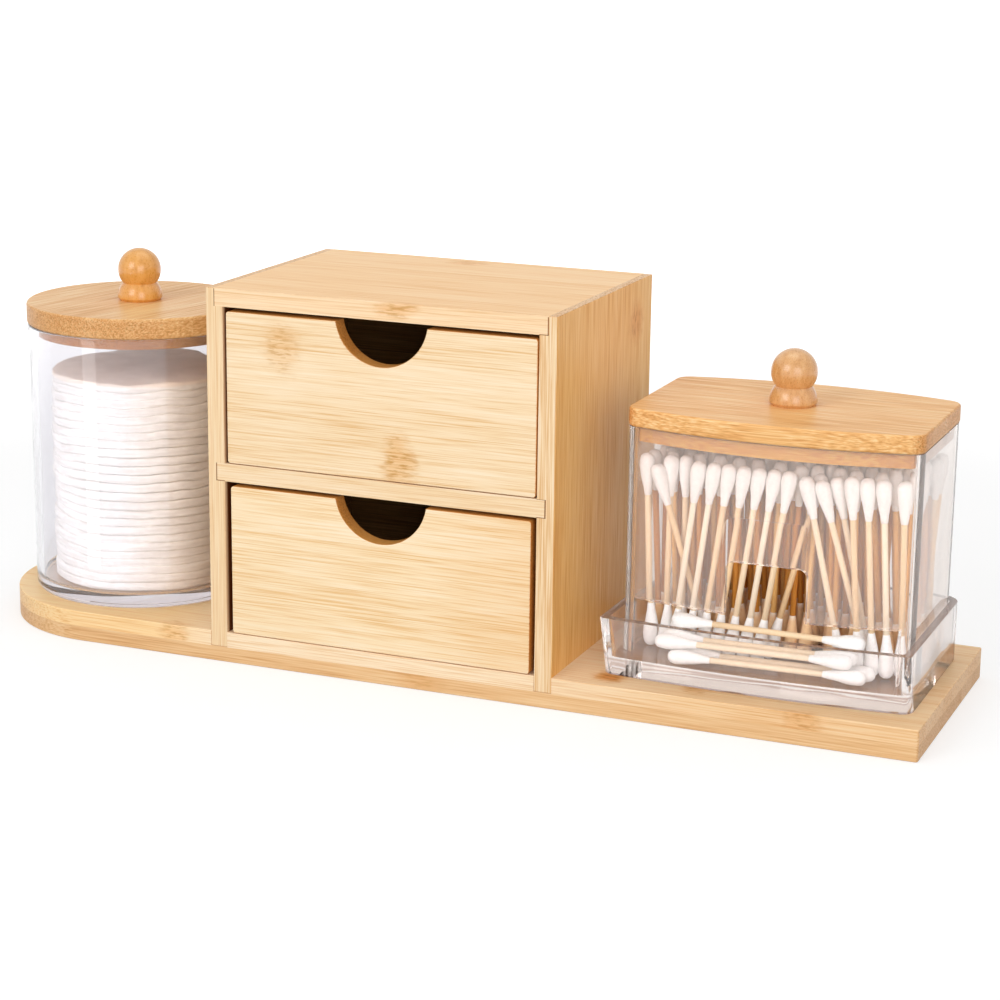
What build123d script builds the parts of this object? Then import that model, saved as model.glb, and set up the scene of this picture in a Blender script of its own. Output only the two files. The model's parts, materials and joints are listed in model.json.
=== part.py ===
"""Bathroom organizer: a board that carries a jar, a cabinet with two drawers and a swab holder.

Millimetres. +X runs along the board towards the swab holder, +Y to the back, +Z up.
The origin is on the board's underside, at the middle of its length and depth.
"""
from build123d import *
import math
import os

os.makedirs("parts", exist_ok=True)

# Base board: two glued plies, with a half circle at the end that carries the jar
board_depth = 104.0
ply_thickness = 6.0
board_corner_radius = 1.0

# Free lengths of board, which set its whole length with what stands between them
jar_gap = 14.0
holder_gap = 14.8
board_end_gap = 6.4

# Cabinet, flush with the front of the board
cabinet_width = 141.8
cabinet_back_gap = 1.1
cabinet_height = 135.0
panel_thickness = 7.0
housing_depth = 3.6
back_thickness = 4.0
wood_ease = 0.4

# Drawers, the same but for the gaps beside their fronts
drawer_front_height = 58.5
drawer_front_thickness = 7.0
drawer_corner_radius = 1.1
drawer_wall = 6.0
drawer_side_height = 50.0
drawer_side_inset = 1.0
drawer_bottom_thickness = 3.0
drawer_bottom_lift = 4.0
drawer_groove_depth = 2.5
drawer_slide_gap = 0.3
drawer_back_gap = 1.5
upper_drawer_side_gaps = (1.4, 0.5)
lower_drawer_side_gaps = (2.5, 2.0)
notch_radius = 18.7
notch_center_rise = 2.9
notch_offset = 1.2

# Jar, centred on the round end of the board
jar_radius = 44.6
jar_height = 109.0
jar_wall = 3.0
jar_floor = 5.0
jar_foot_radius = 2.5
jar_rim_height = 2.5
jar_rim_overhang = 0.5
acrylic_ease = 0.6

# Jar lid
jar_lid_overhang = 0.7
jar_lid_thickness = 8.2
jar_plug_depth = 4.5
plug_clearance = 0.9
lid_ease = 1.0

# Turned knobs and the screws that hold them
knob_ball_radius = 8.6
knob_ball_height = 12.3
knob_flange_radius = 8.9
knob_flange_lip = 1.1
knob_neck_radius = 6.8
knob_foot_inset = 0.8
knob_shoulder_drop = 0.45
knob_bore_spare = 1.0
screw_diameter = 3.5
screw_length = 19.0
screw_head_diameter = 7.0
screw_head_height = 2.0
screw_point_height = 3.0
screw_recess_width = 0.9
screw_recess_depth = 1.2
screw_hole_clearance = 0.5

# Cotton pads in the jar
pad_radius = 36.5
pad_thickness = 3.4
pad_count = 25
pad_edge_radius = 1.5
pad_stray = 0.7
pad_stray_turn = 2.4
rest_gap = 0.3
seat_gap = 0.1

# Swab holder: an upper box that stands in a tray with a trough in front
box_middle_y = 4.1
box_width = 110.0
box_depth = 77.1
box_bow = 7.7
box_corner_radius = 6.0
box_wall = 3.0
box_seat_gap = 0.2
box_pillar_width = 5.0
window_height = 27.4
window_notch_width = 30.4
window_notch_height = 47.3
window_notch_radius = 3.0
window_notch_offset = 1.8
thumb_panel_height = 64.0
thumb_panel_margin = 1.5
thumb_panel_depth = 0.7
thumb_panel_radius = 4.5
tray_wall = 3.0
tray_height = 22.7
tray_floor_top = 7.0
tray_front_reach = 10.9
tray_front_lean = 4.6
tray_front_bow = 2.9
tray_foot_corner = 5.0
tray_rim_corner = 1.2

# Swab holder lid
swab_lid_overhang = 0.3
swab_lid_thickness = 7.0
swab_plug_depth = 5.8
swab_knob_offset = -1.2

# Cotton swabs
swab_length = 73.5
swab_head_room = 5.4
stick_radius = 1.1
stick_end_cover = 2.0
tip_radius = 2.6
tip_waist_radius = 2.3
tip_waist_height = 8.5
tip_length = 15.0
tip_collar = 0.15
swab_rows = 7
swabs_in_row = 17
swab_pitch = 5.8
swab_row_leans = (2.5, -2.0, 3.0, -3.0, 1.5, -1.5, 2.0)
swab_wall_gap = 0.6
lying_layer_gap = 0.2
# Each lying swab: its shift along the trough and distance from the front in tip radii, layer and turn
lying_swabs = (
    (1.42, 0.35, 0, 2.3),
    (2.19, 2.65, 0, 2.3),
    (-0.5, 0.12, 1, 2.0),
    (-0.27, 2.42, 1, 1.0),
    (0.62, 2.77, 2, -1.2),
)

board_top = 2 * ply_thickness
board_front = -board_depth / 2
cabinet_back = board_depth / 2 - cabinet_back_gap
cabinet_top = board_top + cabinet_height
bay_half_width = cabinet_width / 2 - panel_thickness
bay_height = (cabinet_height - 2 * panel_thickness) / 2
shelf_bottom = board_top + bay_height
shelf_top = shelf_bottom + panel_thickness
box_height = tray_floor_top + rest_gap + swab_length + swab_head_room + swab_plug_depth
tray_half_width = box_width / 2 + box_seat_gap + tray_wall
jar_end = board_depth / 2 + jar_radius + jar_gap
board_length = jar_end + cabinet_width + holder_gap + 2 * tray_half_width + board_end_gap
jar_center_x = (board_depth - board_length) / 2
cabinet_offset = jar_end + (cabinet_width - board_length) / 2
holder_offset = board_length / 2 - board_end_gap - tray_half_width
ware_bottom = board_top + seat_gap
jar_lid_seat = ware_bottom + jar_height + seat_gap
tray_floor = ware_bottom + tray_floor_top
box_bottom = tray_floor + seat_gap
box_top = board_top + box_height
swab_lid_seat = box_top + seat_gap
box_front = box_middle_y - box_depth / 2
box_back = box_middle_y + box_depth / 2


def slab(x_span, y_span, z_span):
    """A block between two planes on each axis, whichever is named first."""
    spans = [sorted(span) for span in (x_span, y_span, z_span)]
    size = [high - low for low, high in spans]
    middle = [(high + low) / 2 for low, high in spans]
    return Pos(*middle) * Box(*size)


def column(radius, height, z=0.0):
    """An upright cylinder that stands at height z."""
    return Pos(0, 0, z + height / 2) * Cylinder(radius, height)


def eased(part, radius):
    """A part with every edge rounded."""
    return fillet(part.edges(), radius)


def turned(outline):
    """A solid of revolution about Z from lines in (radius, height)."""
    return revolve(Plane.XZ * make_face(outline), Axis.Z)


def save(name, *pieces):
    """Write one node: a single solid, or a group of separate solids."""
    shape = pieces[0] if len(pieces) == 1 else Compound(list(pieces))
    export_step(shape, f"parts/{name}.step")


def board_ply(bottom):
    """One ply of the board: square at the right, a half circle at the left."""
    radius = board_depth / 2
    straight = board_length - radius
    outline = Pos((board_length - straight) / 2, 0) * Rectangle(straight, board_depth)
    corners = outline.vertices().group_by(Axis.X)[-1]
    outline = fillet(corners, board_corner_radius) + Pos(jar_center_x, 0) * Circle(radius)
    return Pos(0, 0, bottom) * extrude(outline, ply_thickness)


def lower_ply():
    """The ply that stands on the table, eased below."""
    ply = board_ply(0)
    return fillet(ply.edges().group_by(Axis.Z)[0], wood_ease)


def panel_foot(side):
    """The housing in the upper ply that a side panel stands in, open to the front."""
    outer = cabinet_offset + side * cabinet_width / 2
    inner = outer - side * panel_thickness
    return slab((outer, inner), (board_front, cabinet_back), (ply_thickness, board_top))


def upper_ply():
    """The ply that carries everything, eased above, with a housing for each side panel."""
    ply = board_ply(ply_thickness)
    ply = fillet(ply.edges().group_by(Axis.Z)[-1], wood_ease)
    return ply - panel_foot(-1) - panel_foot(1)


def housed_span():
    """The two X planes that the shelf, top and back reach in the side panels."""
    reach = bay_half_width + housing_depth
    return (cabinet_offset - reach, cabinet_offset + reach)


def top_panel():
    """The top, let into the side panels and flush with their ends."""
    return slab(housed_span(), (board_front, cabinet_back), (cabinet_top - panel_thickness, cabinet_top))


def middle_shelf():
    """The shelf between the drawers, from the front to the back panel."""
    return slab(housed_span(), (board_front, cabinet_back - back_thickness), (shelf_bottom, shelf_top))


def back_panel():
    """The back, under the top and let into the side panels."""
    depth = (cabinet_back - back_thickness, cabinet_back)
    return slab(housed_span(), depth, (board_top, cabinet_top - panel_thickness))


def side_panel(side):
    """A side panel, from the lower ply to the top, grooved for what it holds."""
    outer = cabinet_offset + side * cabinet_width / 2
    inner = outer - side * panel_thickness
    panel = slab((outer, inner), (board_front, cabinet_back), (ply_thickness, cabinet_top))
    panel = eased(panel, wood_ease)
    return panel - top_panel() - middle_shelf() - back_panel()


def drawer(floor, side_gaps):
    """The five pieces of a drawer that stands on a floor, by name."""
    bottom_z = floor + drawer_slide_gap
    left = cabinet_offset - bay_half_width + side_gaps[0]
    right = cabinet_offset + bay_half_width - side_gaps[1]
    back = cabinet_back - back_thickness - drawer_back_gap
    inside = board_front + drawer_front_thickness
    low = left + drawer_side_inset
    high = right - drawer_side_inset
    side_z = (bottom_z, bottom_z + drawer_side_height)
    bottom_top = bottom_z + drawer_bottom_lift + drawer_bottom_thickness
    into = drawer_wall - drawer_groove_depth
    bottom = slab(
        (low + into, high - into),
        (inside - drawer_groove_depth, back - into),
        (bottom_z + drawer_bottom_lift, bottom_top),
    )
    left_side = slab((low, low + drawer_wall), (inside, back), side_z)
    right_side = slab((high - drawer_wall, high), (inside, back), side_z)
    rear = slab((low + drawer_wall, high - drawer_wall), (back - drawer_wall, back), side_z)
    return {
        "front": drawer_front(left, right, bottom_z) - bottom,
        "left_side": left_side - bottom,
        "right_side": right_side - bottom,
        "back": rear - bottom,
        "bottom": bottom,
    }


def drawer_front(left, right, bottom_z):
    """A drawer front with rounded corners and a finger notch in its upper edge."""
    depth = (board_front, board_front + drawer_front_thickness)
    front = slab((left, right), depth, (bottom_z, bottom_z + drawer_front_height))
    front = fillet(front.edges().filter_by(Axis.Y), drawer_corner_radius)
    notch_z = bottom_z + drawer_front_height + notch_center_rise
    cutter = Rot(90, 0, 0) * Cylinder(notch_radius, 4 * drawer_front_thickness)
    front -= Pos((left + right) / 2 + notch_offset, board_front, notch_z) * cutter
    return fillet(front.faces().sort_by(Axis.Y)[0].edges(), wood_ease)


def jar():
    """The clear jar, open above, with a slight bead round its rim."""
    body = fillet(column(jar_radius, jar_height).edges().group_by(Axis.Z)[0], jar_foot_radius)
    rim_z = jar_height - jar_rim_height
    body += column(jar_radius + jar_rim_overhang, jar_rim_height, rim_z)
    hollow = column(jar_radius - jar_wall, jar_height, jar_floor)
    hollow = fillet(hollow.edges().group_by(Axis.Z)[0], jar_foot_radius - acrylic_ease)
    shell = body - hollow
    shell = fillet(shell.edges().group_by(Axis.Z)[-1], acrylic_ease)
    return Pos(jar_center_x, 0, ware_bottom) * shell


def screw_hole(plug_depth, lid_thickness):
    """The hole that a knob's screw passes through, countersunk from below."""
    radius = (screw_diameter + screw_hole_clearance) / 2
    head = (screw_head_diameter + screw_hole_clearance) / 2
    sink = Pos(0, 0, screw_head_height / 2 - plug_depth) * Cone(head, radius, screw_head_height)
    return column(radius, plug_depth + lid_thickness, -plug_depth) + sink


def jar_lid():
    """The round lid with the plug that drops into the jar."""
    disc = column(jar_radius + jar_lid_overhang, jar_lid_thickness)
    disc = eased(disc, lid_ease)
    plug = column(jar_radius - jar_wall - plug_clearance, jar_plug_depth, -jar_plug_depth)
    plug = fillet(plug.edges().group_by(Axis.Z)[0], wood_ease)
    lid = disc + plug - screw_hole(jar_plug_depth, jar_lid_thickness)
    return Pos(jar_center_x, 0, jar_lid_seat) * lid


def knob_blank():
    """A turned knob that stands on its flange: a ball on a flared foot."""
    crease = knob_ball_height - math.sqrt(knob_ball_radius**2 - knob_neck_radius**2)
    foot = (knob_flange_radius - knob_foot_inset, 0)
    lip = (knob_flange_radius, knob_flange_lip)
    shoulder = (knob_flange_radius - knob_shoulder_drop, (crease + knob_flange_lip) / 2)
    neck = (knob_neck_radius, crease)
    cheek = (knob_ball_radius, knob_ball_height)
    crown = (0, knob_ball_height + knob_ball_radius)
    return turned([
        Line((0, 0), foot),
        Line(foot, lip),
        ThreePointArc(lip, shoulder, neck),
        ThreePointArc(neck, cheek, crown),
        Line(crown, (0, 0)),
    ])


def knob(x, y, lid_top, lid_height):
    """A knob on a lid, bored for its screw."""
    bore_depth = screw_length - lid_height + knob_bore_spare
    blank = knob_blank() - column(screw_diameter / 2, bore_depth)
    return Pos(x, y, lid_top) * blank


def knob_screw(x, y, plug_bottom):
    """A countersunk cross-head screw that points up, its head flush with a plug."""
    radius = screw_diameter / 2
    head = screw_head_diameter / 2
    shank_top = screw_length - screw_point_height
    screw = turned([
        Line((0, 0), (head, 0)),
        Line((head, 0), (radius, screw_head_height)),
        Line((radius, screw_head_height), (radius, shank_top)),
        Line((radius, shank_top), (0, screw_length)),
        Line((0, screw_length), (0, 0)),
    ])
    blade = Box(screw_head_diameter / 2, screw_recess_width, 2 * screw_recess_depth)
    return Pos(x, y, plug_bottom) * (screw - blade - Rot(0, 0, 90) * blade)


def cotton_pads():
    """A stack of round pads, each a little off the one below."""
    pad = column(pad_radius, pad_thickness)
    pad = eased(pad, pad_edge_radius)
    pads = []
    for index in range(pad_count):
        turn = index * pad_stray_turn
        x = jar_center_x + pad_stray * math.cos(turn)
        y = pad_stray * math.sin(turn)
        lift = ware_bottom + jar_floor + rest_gap + index * pad_thickness
        pads.append(Pos(x, y, lift) * pad)
    return pads


def bowed_outline(width, front, back, bows, corners):
    """A rounded rectangle whose front and back bow outwards.

    bows and corners give the front's value, then the back's.
    """
    half = width / 2
    near = front + bows[0]
    far = back - bows[1]
    face = make_face([
        ThreePointArc((-half, near), (0, front), (half, near)),
        Line((half, near), (half, far)),
        ThreePointArc((half, far), (0, back), (-half, far)),
        Line((-half, far), (-half, near)),
    ])
    rows = face.vertices().group_by(Axis.Y)
    face = fillet(rows[0], corners[0])
    return fillet([v for v in face.vertices() if abs(v.Y - far) < corners[1] / 2], corners[1])


def box_outline(inset):
    """The plan of the upper box, drawn in by an inset or let out by a negative one."""
    corner = max(box_corner_radius - inset, acrylic_ease)
    return bowed_outline(
        box_width - 2 * inset, box_front + inset, box_back - inset, (box_bow, box_bow), (corner, corner)
    )


def front_cutter(width, low, high, radius, depth):
    """A block with rounded upper corners that cuts into the front of the box."""
    block = slab((-width / 2, width / 2), (box_front - depth, box_front + depth), (low, high))
    uppers = block.edges().filter_by(Axis.Y).group_by(Axis.Z)[-1]
    return fillet(uppers, radius)


def swab_box():
    """The clear upper box, open above and below, with a window and a notch in its front."""
    height = box_top - box_bottom
    shell = extrude(box_outline(0), height) - extrude(box_outline(box_wall), height)
    shell = Pos(0, 0, box_bottom) * shell
    reach = box_bow + box_wall + box_corner_radius
    window_width = box_width - 2 * box_pillar_width
    window = slab(
        (-window_width / 2, window_width / 2),
        (box_front - reach, box_front + reach),
        (box_bottom, board_top + window_height),
    )
    notch_top = board_top + window_notch_height
    notch = front_cutter(window_notch_width, box_bottom, notch_top, window_notch_radius, reach)
    notch = Pos(window_notch_offset, 0, 0) * notch
    panel_width = window_notch_width + 2 * thumb_panel_margin
    panel_top = board_top + thumb_panel_height
    thumb = front_cutter(panel_width, box_bottom, panel_top, thumb_panel_radius, thumb_panel_depth)
    thumb = Pos(window_notch_offset, 0, 0) * thumb
    return Pos(holder_offset, 0, 0) * (shell - window - notch - thumb)


def tray_outline(inset, front, corner):
    """The plan of the tray round the box, drawn in by an inset."""
    outset = tray_wall + box_seat_gap
    width = 2 * (tray_half_width - inset)
    back_corner = box_corner_radius + outset - inset
    bows = (tray_front_bow, box_bow)
    return bowed_outline(width, front + inset, box_back + outset - inset, bows, (corner, back_corner))


def tray_loft(inset, low, high):
    """The tray's slanted form between two heights above the board, drawn in by an inset."""
    rim_front = box_front - tray_front_reach
    sections = []
    for height in (low, high):
        share = height / tray_height
        front = rim_front + (1 - share) * tray_front_lean
        corner = tray_foot_corner + share * (tray_rim_corner - tray_foot_corner)
        outline = tray_outline(inset, front, corner)
        sections.append(Pos(0, 0, ware_bottom + height) * outline)
    return loft(sections, ruled=True)


def swab_tray():
    """The clear tray: walls round a thick floor."""
    tray = tray_loft(0, 0, tray_height) - tray_loft(tray_wall, tray_floor_top, tray_height)
    return Pos(holder_offset, 0, 0) * tray


def swab_lid():
    """The bowed lid of the swab box, with its plug."""
    plate = eased(extrude(box_outline(-swab_lid_overhang), swab_lid_thickness), lid_ease)
    plug = extrude(box_outline(box_wall + plug_clearance), -swab_plug_depth)
    hole = Pos(swab_knob_offset, box_middle_y, 0) * screw_hole(swab_plug_depth, swab_lid_thickness)
    return Pos(holder_offset, 0, swab_lid_seat) * (plate + plug - hole)


def swab_pieces():
    """One upright swab on the origin: its stick and its two tips."""
    bare_length = swab_length - 2 * stick_end_cover
    stick = column(stick_radius, bare_length, stick_end_cover)
    quarter = tip_radius * math.sqrt(0.5)
    shoulder = (tip_radius, tip_radius)
    collar = (stick_radius + tip_collar, tip_length)
    tip = turned([
        ThreePointArc((0, 0), (quarter, tip_radius - quarter), shoulder),
        ThreePointArc(shoulder, (tip_waist_radius, tip_waist_height), collar),
        Line(collar, (0, tip_length)),
        Line((0, tip_length), (0, 0)),
    ])
    tip -= stick
    return stick, [tip, Pos(0, 0, swab_length) * Rot(180, 0, 0) * tip]


def standing_places():
    """Where each standing swab stands: rows that each lean their own way."""
    front = box_front + box_bow + box_wall + swab_wall_gap + tip_radius
    back = box_back - box_bow - box_wall - swab_wall_gap - tip_radius
    foot = tray_floor + rest_gap
    places = []
    for row in range(swab_rows):
        y = front + (back - front) * row / (swab_rows - 1)
        lean = swab_row_leans[row % len(swab_row_leans)]
        shift = swab_length / 2 * math.sin(math.radians(lean))
        for column_index in range(swabs_in_row):
            x = holder_offset + (column_index - (swabs_in_row - 1) / 2) * swab_pitch - shift
            places.append(Pos(x, y, foot) * Rot(0, lean, 0))
    return places


def lying_places():
    """Where each swab in the trough lies, in layers on the tray's floor."""
    trough_front = box_front - tray_front_reach + tray_front_lean + tray_wall + tip_radius
    places = []
    for shift, distance, layer, turn in lying_swabs:
        z = tray_floor + rest_gap + tip_radius + layer * (2 * tip_radius + lying_layer_gap)
        place = Pos(holder_offset + shift * tip_radius, trough_front + distance * tip_radius, z)
        places.append(place * Rot(0, 0, turn) * Rot(0, 90, 0) * Pos(0, 0, -swab_length / 2))
    return places


def save_swabs(name, places):
    """Write the sticks and the tips of a group of swabs as two nodes."""
    stick, tips = swab_pieces()
    save(f"{name}_sticks", *[place * stick for place in places])
    save(f"{name}_tips", *[place * tip for place in places for tip in tips])


def build():
    """Write every node."""
    save("board_lower_ply", lower_ply())
    save("board_upper_ply", upper_ply())
    save("left_side_panel", side_panel(-1))
    save("right_side_panel", side_panel(1))
    save("top_panel", top_panel())
    save("middle_shelf", middle_shelf())
    save("back_panel", back_panel())
    for piece, solid in drawer(shelf_top, upper_drawer_side_gaps).items():
        save(f"upper_drawer_{piece}", solid)
    for piece, solid in drawer(board_top, lower_drawer_side_gaps).items():
        save(f"lower_drawer_{piece}", solid)
    save("jar", jar())
    save("cotton_pads", *cotton_pads())
    jar_lid_height = jar_lid_thickness + jar_plug_depth
    save("jar_lid", jar_lid())
    save("jar_knob", knob(jar_center_x, 0, jar_lid_seat + jar_lid_thickness, jar_lid_height))
    save("jar_knob_screw", knob_screw(jar_center_x, 0, jar_lid_seat - jar_plug_depth))
    save("swab_tray", swab_tray())
    save("swab_box", swab_box())
    swab_lid_height = swab_lid_thickness + swab_plug_depth
    knob_x = holder_offset + swab_knob_offset
    save("swab_lid", swab_lid())
    save("swab_knob", knob(knob_x, box_middle_y, swab_lid_seat + swab_lid_thickness, swab_lid_height))
    save("swab_knob_screw", knob_screw(knob_x, box_middle_y, swab_lid_seat - swab_plug_depth))
    save_swabs("standing_swab", standing_places())
    save_swabs("tray_swab", lying_places())


build()
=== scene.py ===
"""Bathroom organizer: a bamboo board with a jar of cotton pads, two drawers and a swab holder.

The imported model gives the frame. This script dresses its nodes in bamboo, turned wood, clear
acrylic and steel, and builds the cotton pads and the swabs in full. Lengths are metres, except
where a comment says that they are mm.
"""

import json
import logging
import math
import random
from dataclasses import dataclass
from enum import Enum
from typing import Any, Sequence, Union

import bmesh
import bpy
from mathutils import Matrix, Vector, noise

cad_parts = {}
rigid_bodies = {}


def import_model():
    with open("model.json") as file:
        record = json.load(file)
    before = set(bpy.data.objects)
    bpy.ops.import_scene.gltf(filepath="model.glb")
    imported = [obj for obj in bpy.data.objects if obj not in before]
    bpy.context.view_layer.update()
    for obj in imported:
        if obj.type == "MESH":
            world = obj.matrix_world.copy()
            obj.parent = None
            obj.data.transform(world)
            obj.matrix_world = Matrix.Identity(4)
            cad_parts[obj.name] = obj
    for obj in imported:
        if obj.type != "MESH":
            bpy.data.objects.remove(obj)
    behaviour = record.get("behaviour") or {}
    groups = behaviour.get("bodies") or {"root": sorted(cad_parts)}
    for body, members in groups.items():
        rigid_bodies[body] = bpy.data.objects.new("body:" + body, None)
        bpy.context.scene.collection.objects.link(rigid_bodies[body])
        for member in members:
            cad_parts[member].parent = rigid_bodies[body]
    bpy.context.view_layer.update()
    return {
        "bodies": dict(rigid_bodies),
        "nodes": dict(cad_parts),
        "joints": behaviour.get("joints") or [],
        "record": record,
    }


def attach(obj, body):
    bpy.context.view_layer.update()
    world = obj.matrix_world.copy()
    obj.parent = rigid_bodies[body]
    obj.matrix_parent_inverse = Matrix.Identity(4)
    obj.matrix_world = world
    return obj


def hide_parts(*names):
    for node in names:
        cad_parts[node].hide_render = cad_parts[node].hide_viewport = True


logging.basicConfig(level=logging.INFO, format="%(message)s")
log = logging.getLogger("organizer")

MM = 0.001
NUMBER = "NodeSocketFloat"

Socket = bpy.types.NodeSocket
Value = Union[float, Socket]
Pair = tuple[float, float]
Triple = tuple[float, float, float]

TINY = 1e-6
WHITE = (1.0, 1.0, 1.0, 1.0)
BLACK = (0.0, 0.0, 0.0, 1.0)
ORIGIN: Triple = (0.0, 0.0, 0.0)
# Where the front edge, the jar and the swab holder stand, in mm
FRONT = -52.0
JAR_X = -143.0
HOLDER_X = 130.4


class Slot(str, Enum):
    """Names of two of the record's material slots: cotton and swab stick."""

    COTTON = "cotton"
    STICK = "swab_stick"


class Grain(Enum):
    """The turn, in degrees about X, Y and Z, that brings a piece's grain onto X."""

    ALONG = (0.0, 0.0, 0.0)
    DEEP = (0.0, 0.0, -90.0)
    UPRIGHT = (0.0, 90.0, 0.0)
    SLANTED = (0.0, 0.0, -76.0)


def linear(code: str) -> tuple[float, float, float, float]:
    """The linear colour of a written one.

    Args:
        code: six hexadecimal digits, as a colour is shown on a screen.

    Returns:
        Red, green, blue and full alpha, linear.
    """
    shares = [int(code[i : i + 2], 16) / 255 for i in (0, 2, 4)]
    out = [s / 12.92 if s <= 0.04045 else ((s + 0.055) / 1.055) ** 2.4 for s in shares]
    return (out[0], out[1], out[2], 1.0)


@dataclass(frozen=True)
class Knuckle:
    """A joint of the bamboo cane that crosses a few strips: its middle and half size in mm."""

    middle: Triple
    half: Triple
    strength: float = 1.0


@dataclass(frozen=True)
class Tinge:
    """A darker tone in a box of the piece: its middle, half size and soft edge in mm."""

    middle: Triple
    half: Triple
    tone: str = "8A5A2C"
    soft: float = 0.15


@dataclass(frozen=True)
class Streak:
    """Noise drawn out along the grain: features per metre along and across, detail, share."""

    along: float
    across: float
    detail: float
    share: float = 1.0


@dataclass(frozen=True)
class Bamboo:
    """The look of one bamboo piece.

    The strips' width is in mm. Faces that look the given way get the tone ``shade`` laid over
    them as a painted shade, and faces that look neither to the front nor to the back get the tone
    ``edge``, a painted shade on edges and in notches.
    """

    name: str
    grain: Grain
    light: str
    mid: str
    dark: str
    strip: float = 9.0
    streaks: float = 1.0
    roughness: float = 0.42
    shift: float = 0.0
    knuckles: tuple[Knuckle, ...] = ()
    end_dots: float = 0.6
    tinges: tuple[Tinge, ...] = ()
    painted_shade_way: Triple = ORIGIN
    shade: str = "FFFFFF"
    edge: str = ""


@dataclass(frozen=True)
class BambooMarks:
    """What all bamboo has in common: where its tones lie, its marks, its relief and its gloss."""

    stops: Triple = (0.18, 0.5, 0.82)
    knuckle: str = "EFC98E"
    knuckle_share: float = 0.3
    fleck: str = "CE9A58"
    fleck_share: float = 0.6
    dot: str = "B07A3E"
    dot_share: float = 0.62
    end_share: float = 0.3
    facing: Pair = (0.3, 0.9)
    depth: float = 0.00012
    relief: float = 0.35
    shine: float = -0.25
    specular: float = 0.18


@dataclass(frozen=True)
class TurnedWood:
    """Varnished turned wood: its dark, middle and light tones, and how strong its pores are."""

    name: str
    tones: tuple[str, str, str]
    specks: float
    stops: Triple = (0.3, 0.5, 0.72)
    figure: Triple = (420.0, 420.0, 140.0)
    figure_share: float = 0.6
    pores: Triple = (1700.0, 1700.0, 1100.0)
    pore_share: float = 0.4
    speck: str = "A9692E"
    speck_span: Pair = (0.56, 0.7)
    span: Pair = (0.3, 0.7)
    roughness: Pair = (0.26, 0.36)
    depth: float = 0.00006
    relief: float = 0.3
    varnish: float = 0.45
    varnish_roughness: float = 0.16


@dataclass(frozen=True)
class Acrylic:
    """Clear moulded acrylic: its faint tint and how clear it is; the rest is a milky haze."""

    name: str
    tint: str
    clarity: float
    tinges: tuple[Tinge, ...] = ()
    mark: str = "E4DFE6"
    mark_share: float = 0.12
    roughness: Pair = (0.015, 0.06)
    depth: float = 0.0006
    relief: float = 0.4
    index: float = 1.49
    passing: str = "F6F4F6"


@dataclass(frozen=True)
class Cotton:
    """White cotton: its open tone, the deep tone of a painted shade in its hollows, and its lumps
    and fibres, whose size is in metres.
    """

    name: str
    light: str
    dark: str
    lump: float
    fibre: float
    ridges: float = 0.0
    tinges: tuple[Tinge, ...] = ()
    depth_share: float = 0.25
    relief: float = 0.5
    roughness: float = 0.95
    specular: float = 0.1
    sheen: float = 0.3
    sheen_roughness: float = 0.6


@dataclass(frozen=True)
class SwabStick:
    """The swabs' bamboo sticks, each a little different: dark, middle and light tones."""

    name: str
    tones: tuple[str, str, str]
    stops: Triple = (0.2, 0.5, 0.8)
    own_share: float = 0.6
    fibre: Triple = (2400.0, 2400.0, 160.0)
    fibre_share: float = 0.4
    span: Pair = (0.3, 0.7)
    roughness: Pair = (0.5, 0.65)
    depth: float = 0.00008
    relief: float = 0.4


@dataclass(frozen=True)
class Steel:
    """Zinc-plated screw steel with fine turning marks."""

    name: str = "screw_steel"
    tones: tuple[str, str] = ("A9A9A6", "C9C9C4")
    marks: Triple = (600.0, 600.0, 6000.0)
    span: Pair = (0.3, 0.7)
    roughness: Pair = (0.25, 0.42)


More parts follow.
